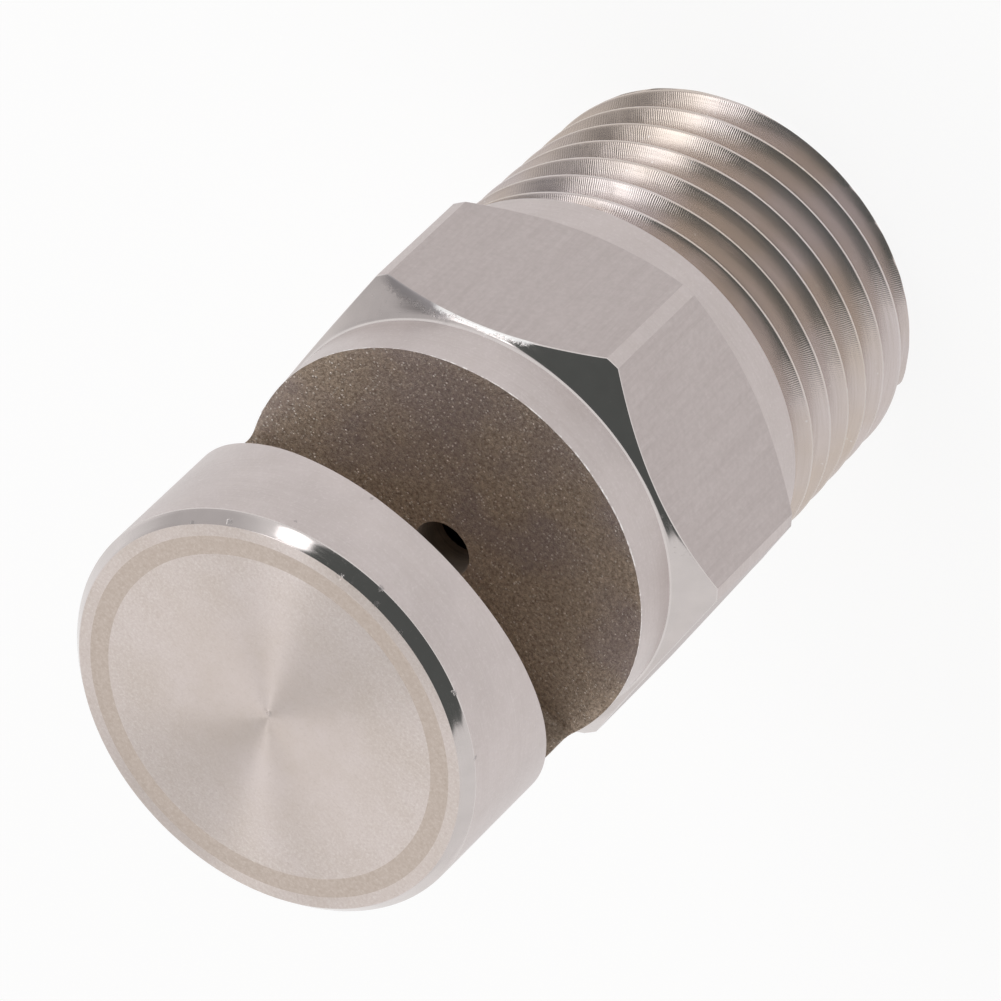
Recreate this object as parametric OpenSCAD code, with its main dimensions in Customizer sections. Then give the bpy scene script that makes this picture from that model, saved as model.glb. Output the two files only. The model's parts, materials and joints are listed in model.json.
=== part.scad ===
// Threaded in-line pressure relief valve with a deflector cap.
// All dimensions in millimetres. The origin is the centre of the inlet end
// face, +Z runs along the axis from the inlet to the deflector cap, and the
// discharge notch opens towards -Y.

/* [Body] */
// Overall length from the inlet face to the front of the cap
total_l = 42; // [42:0.2:44]
// Hexagon size across its flats
hex_af = 22; // [21.8:0.1:22.4]
// Diameter to which the hexagon corners are turned
hex_corner_d = 25; // [24:0.1:25.2]
// Diameter of the turned collar, web and deflector cap
collar_d = 21.5; // [20.5:0.1:21.6]
// Height above the inlet face where the thread runs out at the turned neck
shoulder_z = 12.1; // [12:0.1:12.4]
// Diameter of the turned neck between the thread and the hexagon
neck_d = 21.9; // [21.7:0.1:22]
// Height of the collar's discharge face
collar_face_z = 26.5; // [26.3:0.1:27]
// Height of the deflector face on the axis
deflector_z = 33.3; // [32.5:0.1:34]
// Tilt of the deflector face from square to the axis, degrees
deflector_tilt = 20; // [12:1:24]
// Distance of the notch's back wall behind the axis
web_y = 3.3; // [2.6:0.1:4]
// Diameter of the outlet orifice
orifice_d = 2.9; // [2:0.1:3.4]

/* [Inlet thread] */
// Crest diameter of the male taper thread at the inlet face
thread_d = 20.9; // [20.7:0.05:20.95]
// Growth of the crest diameter per millimetre of thread
thread_taper = 0.0625; // [0.0625:0.0005:0.0635]
// Depth of the thread form
thread_depth = 1.162; // [0.9:0.01:1.2]
// Pitch of the thread
thread_pitch = 1.814; // [1.8:0.001:1.82]
// Width of the crest land
crest_w = 0.3; // [0.2:0.02:0.5]

/* [Mechanism] */
// Lift of the poppet from the seat to its stop
lift = 1.2; // [0.6:0.1:1.3]
// Pitch of the seat thread
seat_pitch = 1; // [0.75:0.25:1]
// Bore through the seat
seat_bore_d = 5; // [4:0.1:5.2]
// Wire diameter of the relief spring
wire_d = 0.7; // [0.5:0.05:0.7]
// Number of turns in the relief spring
spring_turns = 4.5; // [4:0.5:5.5]
// Running clearance of a guided part, per side
clr = 0.05; // [0.02:0.01:0.08]
// Thickness of the thick set shim
shim_thick_t = 0.2; // [0.1:0.05:0.2]

/* [Strainer] */
// Wire width of the strainer screen
screen_wire = 0.3; // [0.2:0.05:0.4]
// Spacing of the strainer screen's wires
screen_pitch = 1.1; // [0.9:0.1:1.4]

/* [Hidden] */
$fn = 96;
// Small overlap of fused solids, or gap between neighbouring parts
eps = 0.01;

// Body outline; a suffix 0 marks the end nearer the inlet, 1 the other end
corner_r = hex_corner_d / 2;
collar_r = collar_d / 2;
neck_r = neck_d / 2;
neck_z1 = shoulder_z + 2.12;
hex_z0 = shoulder_z + 3.15;
hex_z1 = collar_face_z - 4.1;
collar_z0 = collar_face_z - 2.9;

// Cap front: edge chamfer and the shallow step inside its raised rim
cap_edge_z = total_l - 0.6;
cap_face_r = collar_r - 0.5;
band_out_r = 9.65;
band_in_r = 8.65;
band_depth = 0.12;

// Cavity, from the inlet inwards
mouth_r = 7.5;
snap_z0 = 0.6;
snap_z1 = 1.55;
snap_r = 7.9;
strainer_z = 2.1;
bore_thread_r = 7;
bore_thread_z = 9.5;
land_r = 6.3;
land_z = 10.2;
chamber_r = 6;
chamber_z = 13.3;
ledge_z = 22.7;
ledge_r = 5.1;
cone_z = ledge_z + (ledge_r - orifice_d / 2) / tan(68);

// Seat and its lock ring
seat_thread_r = bore_thread_r - 0.04;
lock_z0 = 3.3;
lock_z1 = 5.1;
insert_z1 = 13.1;
seat_z = 13.6;
seal_floor_r = 5.45;
seal_z0 = 11.2;
seal_z1 = 12.7;

// Seat disc and the parts that clamp it to the poppet
disc_t = 1.2;
disc_bore_r = 1.05;
disc_washer_z = seat_z - 0.6;
screw_head_z = disc_washer_z - 0.35;

// Poppet, spring and plate stack
holder_z1 = 16.1;
thrust_washer_z1 = 16.4;
shim_pack_t = 0.3;
shim_thin_t = shim_pack_t - shim_thick_t;
shim_out_r = 5.85;
shim_in_r = 5.15;
plate_z1 = ledge_z - shim_pack_t;
plate_z0 = plate_z1 - 0.8;
hub_z = plate_z0 - 1.2;
stem_r = 1.75;
stop_r = 2.3;
stop_z = hub_z - lift - 0.02;
damper_groove_z = plate_z0 + 0.15;
damper_groove_h = 0.5;
sleeve_bore_r = 5;

// Crest radius of the taper thread at height z
function crest_r(z) = thread_d / 2 + z * thread_taper / 2;

// A ring of rectangular section
module ring(r_out, r_in, z0, z1) {
  translate([0, 0, z0]) difference() {
    cylinder(r = r_out, h = z1 - z0);
    translate([0, 0, -1]) cylinder(r = r_in, h = z1 - z0 + 2);
  }
}

// A ring of round section, centred at height z
module torus(ring_r, section_r, z) {
  translate([0, 0, z]) rotate_extrude()
    translate([ring_r, 0]) circle(r = section_r, $fn = 48);
}

// Hexagonal prism on z = 0, sized from its axis to a flat
module hex_prism(flat_r, h) {
  cylinder(r = flat_r / cos(30), h = h, $fn = 6);
}

// One annular thread groove between two crest lands: a rounded root
module groove(crest, depth, pitch, land, z) {
  half_w = (pitch - land) / 2;
  steps = 12;
  rotate_extrude() polygon(concat(
    [[crest + 1, z - half_w], [crest, z - half_w]],
    [for (i = [1:steps - 1]) let (t = -1 + 2 * i / steps)
      [crest - depth * pow(cos(t * 90), 0.75), z + half_w * t]],
    [[crest, z + half_w], [crest + 1, z + half_w]]));
}

// One groove of the thread shared by the seat insert and the lock ring
module seat_groove(z) {
  groove(seat_thread_r, depth = 0.5, pitch = seat_pitch, land = 0.14, z = z);
}

// Turned outline of the whole body, before the hexagon, notch and bores
module body_turned() {
  // [radius, z]
  rotate_extrude() polygon([
    [0, 0],
    // thread crests, chamfered at the inlet
    [thread_d / 2 - 0.2, 0], [crest_r(0.2), 0.2],
    [crest_r(shoulder_z - 0.15), shoulder_z - 0.15],
    // neck and hexagon corners
    [neck_r - 0.05, shoulder_z - 0.05], [neck_r, shoulder_z],
    [neck_r, neck_z1], [corner_r, hex_z0],
    // collar and cap
    [corner_r, hex_z1], [collar_r + 0.18, collar_z0 - 0.06],
    [collar_r + 0.05, collar_z0 + 0.06], [collar_r, collar_z0 + 0.26],
    [collar_r, cap_edge_z],
    [cap_face_r, total_l], [band_out_r, total_l],
    [band_out_r - 0.1, total_l - band_depth],
    [band_in_r, total_l - band_depth],
    [band_in_r - 0.1, total_l - 0.02], [0, total_l - 0.02]]);
}

// Discharge notch: collar face, back wall and tilted deflector face
module notch() {
  fillet = 0.35;
  reach = 20;
  slope = tan(deflector_tilt);
  wall_top_z = deflector_z - web_y * slope;
  // [y, z], extruded along X
  rotate([90, 0, 90]) translate([0, 0, -reach]) linear_extrude(2 * reach)
    polygon([
      [-reach, collar_face_z], [web_y - fillet, collar_face_z],
      [web_y - 0.29 * fillet, collar_face_z + 0.29 * fillet],
      [web_y, collar_face_z + fillet], [web_y, wall_top_z - fillet],
      [web_y - 0.2 * fillet, wall_top_z - 0.25 * fillet],
      [web_y - fillet, wall_top_z + fillet * slope],
      [-reach, deflector_z + reach * slope]]);
}

// Stepped cavity that holds the mechanism, and the outlet orifice
module cavity() {
  // [radius, z]
  rotate_extrude() polygon([
    [0, -1], [mouth_r + 1.5, -1], [mouth_r, 0.5],
    [mouth_r, snap_z0], [snap_r, snap_z0], [snap_r, snap_z1],
    [mouth_r, snap_z1], [mouth_r, strainer_z],
    [bore_thread_r, strainer_z], [bore_thread_r, bore_thread_z],
    [land_r, land_z], [land_r, chamber_z], [chamber_r, chamber_z],
    [chamber_r, ledge_z], [ledge_r, ledge_z], [orifice_d / 2, cone_z],
    [0, cone_z]]);
  translate([0, 0, cone_z - 0.5])
    cylinder(d = orifice_d, h = collar_face_z - cone_z + 2.5);
}

// Inlet thread grooves: the first is cut short, the last runs out shallow
module inlet_grooves() {
  groove(crest_r(0.8), thread_depth * 0.85, pitch = 1.35, land = crest_w, z = 0.79);
  for (k = [0:4]) let (z = 1.45 + (k + 0.5) * thread_pitch)
    groove(crest_r(z), thread_depth, thread_pitch, crest_w, z);
  groove(crest_r(11.3), depth = 0.42, pitch = 1.6, land = crest_w, z = 11.33);
}

module valve_body() {
  color([0.74, 0.71, 0.70]) difference() {
    intersection() {
      body_turned();
      union() {
        translate([0, 0, -1]) rotate([0, 0, 30])
          hex_prism(hex_af / 2, total_l + 2);
        translate([0, 0, collar_z0])
          cylinder(r = collar_r + 1, h = total_l - collar_z0 + 1);
      }
    }
    notch();
    cavity();
    inlet_grooves();
  }
}

// Shims behind the spring plate set the opening pressure
module set_shim_thick() {
  color([0.78, 0.76, 0.70])
    ring(shim_out_r, shim_in_r, plate_z1, plate_z1 + shim_thick_t);
}

module set_shim_thin() {
  color([0.72, 0.70, 0.62])
    ring(shim_out_r, shim_in_r, ledge_z - shim_thin_t, ledge_z);
}

// Perforated plate: seat of the spring, guide of the stem
module spring_plate() {
  hole_circle_r = 4.02;
  color([0.70, 0.68, 0.66]) difference() {
    union() {
      translate([0, 0, plate_z0])
        cylinder(r = 5.9, h = plate_z1 - plate_z0);
      translate([0, 0, hub_z]) cylinder(r = 2.45, h = plate_z0 - hub_z + eps);
    }
    translate([0, 0, hub_z - 1])
      cylinder(r = stem_r + clr, h = plate_z1 - hub_z + 2);
    translate([0, 0, damper_groove_z]) cylinder(r = 2.3, h = damper_groove_h);
    for (k = [0:5]) rotate([0, 0, 60 * k])
      translate([hole_circle_r, 0, plate_z0 - 1]) cylinder(r = 0.75, h = 3);
  }
}

// Soft ring inside the plate that steadies the stem
module stem_damper_ring() {
  color([0.16, 0.16, 0.17])
    torus(ring_r = 2.045, section_r = 0.235,
          z = damper_groove_z + damper_groove_h / 2);
}

// Bush that guides the poppet's wings, chamfered at its inlet end
module guide_sleeve() {
  out_r = chamber_r - 0.03;
  z0 = chamber_z + 0.1;
  height = plate_z0 - z0;
  chamfer = 0.2;
  color([0.72, 0.58, 0.36]) translate([0, 0, z0])
    rotate_extrude() polygon([
      [sleeve_bore_r + chamfer, 0], [out_r - chamfer, 0], [out_r, chamfer],
      [out_r, height], [sleeve_bore_r, height], [sleeve_bore_r, chamfer]]);
}

// Height of the wire's centre after some turns of a spring from z0 to z1,
// with closed end turns
function coil_z(turn, turns, z0, z1) =
  let (closed = 0.8,
       closed_pitch = wire_d * 1.02,
       closed_h = closed * closed_pitch,
       open_pitch = (z1 - z0 - 2 * closed_h) / (turns - 2 * closed))
  turn < closed ? z0 + turn * closed_pitch
    : turn > turns - closed ? z1 - (turns - turn) * closed_pitch
    : z0 + closed_h + (turn - closed) * open_pitch;

// Compression spring, swept as rings of points around the wire
module relief_spring() {
  steps_per_turn = 32;
  sides = 10;
  coil_r = 3.07;
  wire_r = wire_d / 2;
  z0 = thrust_washer_z1 + wire_r + 0.01;
  z1 = plate_z0 - wire_r - 0.01;
  steps = floor(spring_turns * steps_per_turn);
  points = [
    for (i = [0:steps])
      let (turn = spring_turns * i / steps,
           angle = 360 * turn,
           z = coil_z(turn, spring_turns, z0, z1))
      for (j = [0:sides - 1])
        let (around = 360 * j / sides,
             r = coil_r + wire_r * cos(around))
        [r * cos(angle), r * sin(angle), z + wire_r * sin(around)]];
  skin = [
    for (i = [0:steps - 1]) for (j = [0:sides - 1])
      let (this = i * sides + j, next = i * sides + (j + 1) % sides)
      for (face = [[this, next + sides, next],
                   [this, this + sides, next + sides]]) face];
  last = steps * sides;
  start_cap = [for (j = [1:sides - 2]) [0, j, j + 1]];
  end_cap = [for (j = [1:sides - 2]) [last, last + j + 1, last + j]];
  color([0.62, 0.62, 0.64])
    polyhedron(points = points, faces = concat(skin, start_cap, end_cap));
}

module spring_thrust_washer() {
  color([0.80, 0.79, 0.76])
    ring(3.9, stop_r + 0.05, holder_z1, thrust_washer_z1);
}

// Poppet: disc holder with four guide wings, a stop shoulder and a stem
module poppet() {
  skirt = 0.25;
  wing_l = 12;
  wing_w = 1.4;
  wing_z = seat_z + 0.5;
  tip = 0.3;
  color([0.66, 0.64, 0.62]) difference() {
    union() {
      translate([0, 0, seat_z - skirt])
        cylinder(r = 4.1, h = holder_z1 - seat_z + skirt);
      intersection() {
        translate([0, 0, wing_z])
          cylinder(r = sleeve_bore_r - clr, h = holder_z1 - wing_z);
        for (k = [0:1]) rotate([0, 0, 90 * k + 45])
          translate([-wing_l / 2, -wing_w / 2, seat_z])
            cube([wing_l, wing_w, 4]);
      }
      translate([0, 0, holder_z1 - eps])
        cylinder(r = stop_r, h = stop_z - holder_z1 + eps);
      translate([0, 0, stop_z - eps])
        cylinder(r = stem_r, h = ledge_z - tip - stop_z + eps);
      translate([0, 0, ledge_z - tip])
        cylinder(r1 = stem_r, r2 = stem_r - tip, h = tip);
    }
    // disc pocket and screw hole
    translate([0, 0, seat_z - 1]) cylinder(r = 3.5, h = disc_t + 1);
    translate([0, 0, seat_z]) cylinder(r = 1.03, h = 4.4);
  }
}

module seat_disc() {
  color([0.88, 0.87, 0.83]) ring(3.48, disc_bore_r, seat_z, seat_z + disc_t);
}

module seat_disc_washer() {
  color([0.72, 0.71, 0.70]) ring(2.1, disc_bore_r, disc_washer_z, seat_z);
}

// Split spring washer under the screw's head
module seat_disc_lock_washer() {
  split = 0.24;
  color([0.55, 0.54, 0.52]) difference() {
    ring(1.7, disc_bore_r, screw_head_z, disc_washer_z);
    rotate([0, 0, 20]) translate([0, -split / 2, seat_z - 2])
      cube([3, split, 3]);
  }
}

// Socket-head screw, its head towards the inlet
module seat_disc_screw() {
  head_r = 1.75;
  head_h = 1.05;
  chamfer = 0.3;
  shank_r = 1;
  tip_z = seat_z + 4.2;
  color([0.68, 0.67, 0.66]) difference() {
    rotate_extrude() polygon([
      [0, screw_head_z - head_h], [head_r - chamfer, screw_head_z - head_h],
      [head_r, screw_head_z - head_h + chamfer], [head_r, screw_head_z],
      [shank_r, screw_head_z], [shank_r, tip_z - 0.2],
      [shank_r - 0.2, tip_z], [0, tip_z]]);
    translate([0, 0, screw_head_z - 2]) hex_prism(0.75, 1.6);
  }
}

// Adjustable seat: outer thread, seal groove, hexagon socket and raised lip
module seat_insert() {
  bore_r = seat_bore_d / 2;
  plain_r = land_r - 0.06;
  chamfer = 0.4;
  color([0.76, 0.73, 0.68]) difference() {
    rotate_extrude() polygon([
      [bore_r, lock_z1], [seat_thread_r - chamfer, lock_z1],
      [seat_thread_r, lock_z1 + chamfer],
      [seat_thread_r, 8.9], [plain_r, 9.3],
      // seal groove
      [plain_r, seal_z0], [seal_floor_r, seal_z0],
      [seal_floor_r, seal_z1], [plain_r, seal_z1],
      [plain_r, insert_z1 - 0.2], [plain_r - 0.2, insert_z1],
      // raised lip
      [bore_r + 0.75, insert_z1], [bore_r + 0.5, seat_z - eps],
      [bore_r + 0.15, seat_z - eps], [bore_r, seat_z - 0.2]]);
    translate([0, 0, lock_z1 - 1]) hex_prism(3, 4.2);
    for (k = [0:2]) seat_groove(lock_z1 + 0.95 + k * seat_pitch);
  }
}

// Fills the gap between the seal groove's floor and the body's bore
module seat_o_ring() {
  color([0.10, 0.10, 0.11])
    torus(ring_r = (land_r + seal_floor_r) / 2,
          section_r = (land_r - seal_floor_r) / 2 - eps, z = 11.68);
}

module seat_backup_ring() {
  color([0.92, 0.91, 0.88])
    ring(land_r - 0.03, seal_floor_r + 0.03, 12.15, seal_z1 - 0.02);
}

// Hollow lock ring, jammed against the seat insert
module lock_ring() {
  bore_r = 3;
  chamfer = 0.36;
  color([0.72, 0.70, 0.66]) difference() {
    rotate_extrude() polygon([
      [bore_r, lock_z0], [seat_thread_r - chamfer, lock_z0],
      [seat_thread_r, lock_z0 + chamfer], [seat_thread_r, lock_z1 - chamfer],
      [seat_thread_r - chamfer, lock_z1 - eps], [bore_r, lock_z1 - eps]]);
    translate([0, 0, lock_z0 - 1]) hex_prism(4, 4);
    seat_groove((lock_z0 + lock_z1) / 2);
  }
}

// Strainer: a rolled ring that holds the screen
module strainer_frame() {
  lip_r = 5.7;
  pocket_r = 6.6;
  out_r = 7.4;
  z0 = snap_z1 + 0.01;
  wall = 0.13;
  color([0.78, 0.76, 0.74]) rotate_extrude() polygon([
    [lip_r, z0], [out_r, z0], [out_r, strainer_z],
    [lip_r, strainer_z], [lip_r, strainer_z - wall],
    [pocket_r, strainer_z - wall], [pocket_r, z0 + wall], [lip_r, z0 + wall]]);
}

// Square grid of wires inside a flat rim
module strainer_screen() {
  mid_z = (snap_z1 + strainer_z) / 2;
  thick = 0.26;
  wire_l = 16;
  count = ceil(6.6 / screen_pitch);
  color([0.66, 0.65, 0.64]) intersection() {
    translate([0, 0, mid_z - thick / 2]) cylinder(r = 6.55, h = thick);
    union() {
      ring(7, 6, mid_z - 1, mid_z + 1);
      for (k = [-count:count]) let (side = k * screen_pitch - screen_wire / 2) {
        translate([side, -wire_l / 2, mid_z - 1])
          cube([screen_wire, wire_l, 2]);
        translate([-wire_l / 2, side, mid_z - 1])
          cube([wire_l, screen_wire, 2]);
      }
    }
  }
}

// Places a child at each of the snap ring's two ears
module at_ears(y, z) {
  for (m = [0:1]) mirror([m, 0, 0]) rotate([0, 0, 30])
    translate([0, y, z]) children();
}

// Internal snap ring with plier holes, open towards -Y
module snap_ring() {
  thick = 0.9;
  color([0.42, 0.41, 0.40]) translate([0, 0, snap_z0 + 0.02])
    difference() {
      union() {
        difference() {
          cylinder(r = snap_r - 0.03, h = thick);
          translate([0, 0.35, -1]) cylinder(r = 6.85, h = 3);
          translate([0, 0, -1]) linear_extrude(3)
            polygon([[0, 0], [5, -12], [-5, -12]]);
        }
        at_ears(-6.35, 0) cylinder(r = 1.15, h = thick);
      }
      at_ears(-6.25, -1) cylinder(r = 0.6, h = 3);
    }
}

valve_body();
set_shim_thick();
set_shim_thin();
spring_plate();
stem_damper_ring();
guide_sleeve();
relief_spring();
spring_thrust_washer();
poppet();
seat_disc();
seat_disc_washer();
seat_disc_lock_washer();
seat_disc_screw();
seat_insert();
seat_o_ring();
seat_backup_ring();
lock_ring();
strainer_frame();
strainer_screen();
snap_ring();
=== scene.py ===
# Looks for a pressure relief valve, built round its CAD pieces.
# The valve stands on its z axis: the threaded, bored shank starts at z 0, a turned hexagon
# lies above it, and a round cap ends at z 42 mm. A notch in the cap opens towards -y.
# Shapes are worked out in millimetres and scaled to metres as they become meshes.
import json
import math

import bmesh
import bpy
import numpy as np
from mathutils import Matrix, Vector, noise


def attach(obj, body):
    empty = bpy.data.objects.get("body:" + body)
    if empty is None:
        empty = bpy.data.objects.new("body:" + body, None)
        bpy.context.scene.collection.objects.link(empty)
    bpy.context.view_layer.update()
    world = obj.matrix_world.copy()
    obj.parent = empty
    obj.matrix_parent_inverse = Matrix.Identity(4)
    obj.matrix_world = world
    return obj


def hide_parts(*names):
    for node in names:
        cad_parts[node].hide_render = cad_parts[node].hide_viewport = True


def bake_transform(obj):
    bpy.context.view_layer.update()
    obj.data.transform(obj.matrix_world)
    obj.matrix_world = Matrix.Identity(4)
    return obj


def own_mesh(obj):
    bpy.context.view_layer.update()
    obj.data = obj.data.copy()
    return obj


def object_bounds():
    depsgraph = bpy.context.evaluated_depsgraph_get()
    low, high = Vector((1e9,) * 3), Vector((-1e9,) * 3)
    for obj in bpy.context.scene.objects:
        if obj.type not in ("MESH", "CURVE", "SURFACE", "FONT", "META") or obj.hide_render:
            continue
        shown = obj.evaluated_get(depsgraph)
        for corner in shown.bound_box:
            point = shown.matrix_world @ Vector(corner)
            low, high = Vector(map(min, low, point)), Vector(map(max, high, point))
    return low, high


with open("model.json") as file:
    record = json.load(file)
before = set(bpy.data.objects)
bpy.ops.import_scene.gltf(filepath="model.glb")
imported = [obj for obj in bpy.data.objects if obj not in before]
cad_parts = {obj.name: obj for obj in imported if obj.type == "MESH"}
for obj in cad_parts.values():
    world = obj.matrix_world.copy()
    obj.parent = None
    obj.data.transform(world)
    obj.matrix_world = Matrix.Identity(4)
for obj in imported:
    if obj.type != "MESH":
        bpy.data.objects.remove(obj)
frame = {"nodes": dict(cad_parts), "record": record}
cad_lo, cad_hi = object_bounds()
scene = bpy.context.scene

MM = 0.001
# thread
PITCH = 1.814
STARTS = 2
LEAD = STARTS * PITCH
# hexagon: middle of a flat, turned corner, and half the angle a flat covers in degrees
FLAT_R = 11.0
CORNER_R = 12.5
CORNER = math.degrees(math.acos(FLAT_R / CORNER_R))
# round parts under and above the hexagon
NECK_R = 10.97
CAP_R = 10.75
CAP_TOP = 42.0
DISC_Z = 41.98
BAND_Z = 41.972
# small nub near the middle of the cap's top
NUB_X, NUB_Y = 0.18, -0.18


# ------------------------------------------------------------ node helpers
class Value:
    """One output socket. Arithmetic on it adds Math nodes."""

    def __init__(self, nodes, socket):
        self.nodes = nodes
        self.socket = socket

    def __add__(self, other):
        return self.nodes.math("ADD", self, other)

    def __sub__(self, other):
        return self.nodes.math("SUBTRACT", self, other)

    def __rsub__(self, other):
        return self.nodes.math("SUBTRACT", other, self)

    def __mul__(self, other):
        return self.nodes.math("MULTIPLY", self, other)

    def __abs__(self):
        return self.nodes.math("ABSOLUTE", self)

    def larger(self, other):
        return self.nodes.math("MAXIMUM", self, other)

    def remap(self, start, end, low, high, smooth=False):
        inputs = dict(enumerate((self, start, end, low, high)))
        kind = "SMOOTHSTEP" if smooth else "LINEAR"
        return self.nodes.value("ShaderNodeMapRange", inputs, interpolation_type=kind)

    def rise(self, start, end, smooth=False):
        """0 at start, 1 at end."""
        return self.remap(start, end, 0.0, 1.0, smooth)

    def fade(self, start, end, smooth=False):
        """1 at start, 0 at end."""
        return self.remap(start, end, 1.0, 0.0, smooth)

    def spread(self, low=0.0, high=1.0):
        """Brings a noise's usual range, 0.3 to 0.7, to low and high."""
        return self.remap(0.3, 0.7, low, high)

    def blend(self, zero, one):
        """The number zero where this value is 0, and one where it is 1."""
        return self.nodes.value("ShaderNodeMix", {0: self, 2: zero, 3: one}, data_type="FLOAT")


class Nodes:
    """The emptied node tree of a material or world."""

    def __init__(self, owner):
        owner.use_nodes = True
        self.tree = owner.node_tree
        self.tree.nodes.clear()

    def add(self, kind, inputs, **settings):
        """A new node. inputs: a value or number for each socket's index or name."""
        node = self.tree.nodes.new(kind)
        for name, setting in settings.items():
            setattr(node, name, setting)
        for key, value in inputs.items():
            self.put(node.inputs[key], value)
        return node

    def value(self, kind, inputs, output=0, **settings):
        return Value(self, self.add(kind, inputs, **settings).outputs[output])

    def put(self, socket, value):
        if isinstance(value, Value):
            self.tree.links.new(value.socket, socket)
        elif socket.type == "RGBA":
            socket.default_value = tuple(value) + (1.0,)
        else:
            socket.default_value = value

    def math(self, operation, first, second=0.0):
        return self.value("ShaderNodeMath", {0: first, 1: second}, operation=operation)

    def mix(self, mask, base, over):
        """Colour: base where the mask is 0, over where it is 1."""
        inputs = {0: mask, 6: base, 7: over}
        return self.value("ShaderNodeMix", inputs, output=2, data_type="RGBA")


class Material(Nodes):
    """A Principled material whose textures lie in object coordinates, in millimetres."""

    def __init__(self, name):
        self.material = bpy.data.materials.new(name)
        super().__init__(self.material)
        self.surface = self.add("ShaderNodeBsdfPrincipled", {})
        self.add("ShaderNodeOutputMaterial", {0: Value(self, self.surface.outputs[0])})
        metres = self.value("ShaderNodeTexCoord", {}, output="Object")
        self.mm = self.value("ShaderNodeVectorMath", {0: metres, "Scale": 1 / MM},
                             operation="SCALE")

    def split(self):
        """x, y and z in mm."""
        node = self.add("ShaderNodeSeparateXYZ", {0: self.mm})
        return [Value(self, socket) for socket in node.outputs]

    def polar(self):
        """Radius in mm, angle in radians and z in mm, about the valve's axis."""
        x, y, z = self.split()
        return self.math("SQRT", x * x + y * y), self.math("ARCTAN2", y, x), z

    def join(self, x, y, z=0.0):
        """Texture coordinates. The larger a part's factor, the finer the texture along it."""
        return self.value("ShaderNodeCombineXYZ", {0: x, 1: y, 2: z})

    def stretch(self, factors):
        inputs = {0: self.mm, 1: factors}
        return self.value("ShaderNodeVectorMath", inputs, operation="MULTIPLY")

    def noise(self, at=None, scale=1.0, detail=3, rough=0.5, warp=0.0, output="Fac"):
        inputs = {"Vector": at or self.mm, "Scale": scale, "Detail": detail,
                  "Roughness": rough, "Distortion": warp}
        return self.value("ShaderNodeTexNoise", inputs, output)

    def voronoi(self, scale, output="Distance"):
        return self.value("ShaderNodeTexVoronoi", {"Vector": self.mm, "Scale": scale}, output)

    def distance(self, place, point):
        inputs = {0: place, 1: point}
        return self.value("ShaderNodeVectorMath", inputs, "Value", operation="DISTANCE")

    def tint(self, color, mask, amount, over):
        """The colour, turned towards over by that amount where the mask is 1."""
        return self.mix(mask * amount, color, over)

    def bump(self, height, depth, strength):
        """depth: mm the surface rises for a height of 1."""
        inputs = {"Height": height, "Distance": depth * MM, "Strength": strength}
        return self.value("ShaderNodeBump", inputs)

    def finish(self, color, rough, normal, metal=1.0, brushed=0.0, turn=0.0,
               specular=0.5, sheen=0.0):
        """brushed: stretch of the highlights about the axis, turned by turn of a circle."""
        inputs = {"Base Color": color, "Roughness": rough, "Normal": normal, "Metallic": metal,
                  "Anisotropic": brushed, "Anisotropic Rotation": turn,
                  "Specular IOR Level": specular, "Sheen Weight": sheen}
        if brushed:
            inputs["Tangent"] = self.value("ShaderNodeTangent", {}, direction_type="RADIAL",
                                           axis="Z")
        for name, value in inputs.items():
            self.put(self.surface.inputs[name], value)
        return self.material


# ------------------------------------------------------------ body materials
# dents along the cap's edges: angle in degrees, radius, z, size
DENTS = [
    (-34.6, 10.26, 41.95, 0.16), (-45.8, 10.42, 41.85, 0.15), (-79.9, 10.18, 41.98, 0.17),
    (-89.7, 10.76, 41.38, 0.15), (-91.4, 10.34, 41.90, 0.17), (-121.1, 10.76, 41.45, 0.14),
    (-62.0, 10.72, 40.9, 0.08), (-101.0, 10.3, 41.95, 0.10), (-140.0, 10.75, 41.3, 0.12),
    (-72.0, 10.75, 37.2, 0.10), (-70.5, 10.75, 36.8, 0.07),
]
DENT_WARP = 0.34  # mm that noise shifts a dent's outline, from one end of its range to the other


def dent_mask(mat):
    """1 in the small dents along the cap's edges, 0 elsewhere."""
    wander = mat.noise(scale=5.0, rough=0.6, output="Color")
    ragged = mat.value("ShaderNodeVectorMath", {0: wander, 1: (DENT_WARP,) * 3, 2: mat.mm},
                       operation="MULTIPLY_ADD")
    mean = DENT_WARP / 2
    masks = []
    for degrees, radius, z, size in DENTS:
        angle = math.radians(degrees)
        centre = (radius * math.cos(angle) + mean, radius * math.sin(angle) + mean, z + mean)
        away = mat.distance(ragged, centre)
        masks.append(away.fade(start=size * 0.55, end=size * 1.2))
    total = masks[0]
    for mask in masks[1:]:
        total = total.larger(mask)
    return total


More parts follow.
